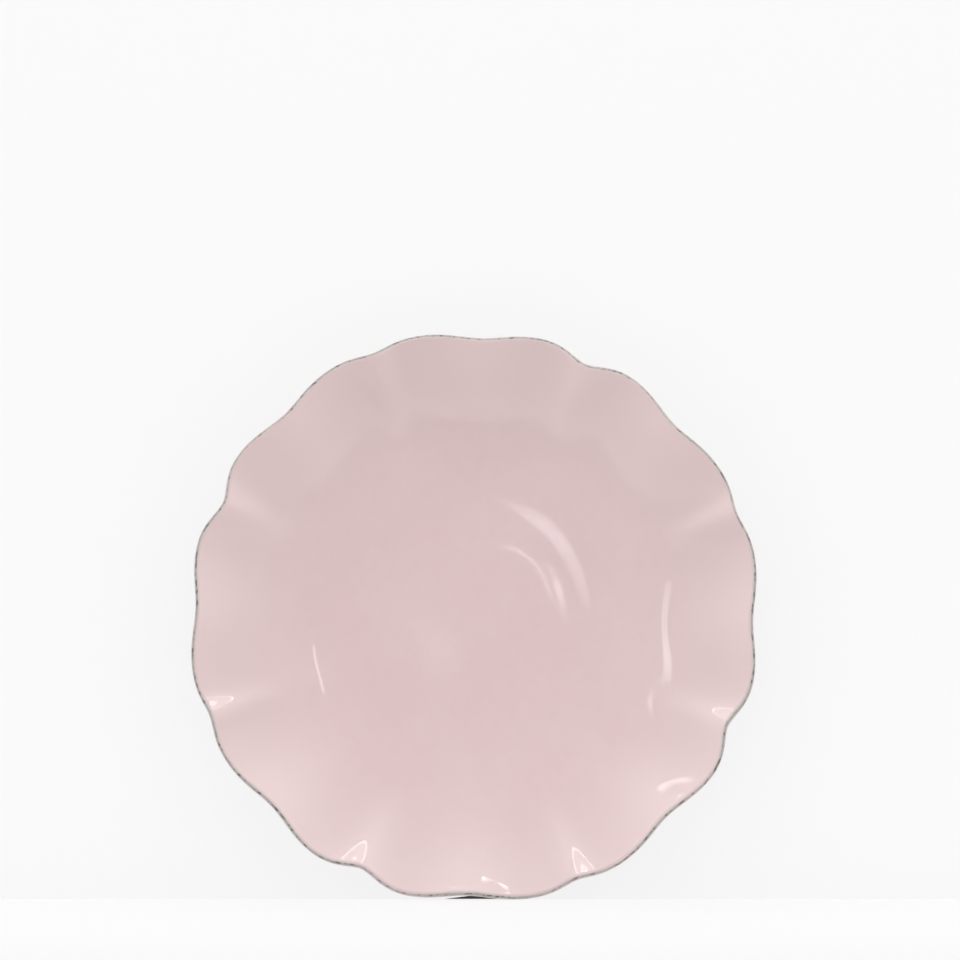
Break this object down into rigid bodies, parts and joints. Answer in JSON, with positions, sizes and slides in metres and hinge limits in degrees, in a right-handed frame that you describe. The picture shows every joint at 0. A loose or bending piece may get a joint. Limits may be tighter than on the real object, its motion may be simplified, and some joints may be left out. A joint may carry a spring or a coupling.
{
  "type": "soup plate",
  "caption": "Round glazed stoneware soup plate: shallow bowl with a flat well, a wall pinched into soft ruffles at a scalloped rim with a rubbed grey edge, standing on a bare foot ring.",
  "frame": {"origin": "under the middle of the plate, on the plane of the foot ring's sole", "axes": "+Z up out of the bowl; +X and +Y point at broad dips of the rim, and in the picture +X is right and +Y is up"},
  "size_m": [0.2396, 0.2396, 0.0325],
  "materials": {
    "fired_clay": "bare fired stoneware, matt and slightly gritty",
    "pink_glaze": "pale pink gloss glaze",
    "rubbed_edge": "glaze rubbed thin along the edge, grey with dark flecks"
  },
  "bodies": {
    "root": {"stoneware_body": "fired_clay", "foot_ring": "fired_clay", "face_glaze": "pink_glaze", "back_glaze": "pink_glaze", "base_glaze": "pink_glaze", "rim_edge_band": "rubbed_edge"}
  },
  "joints": []
}
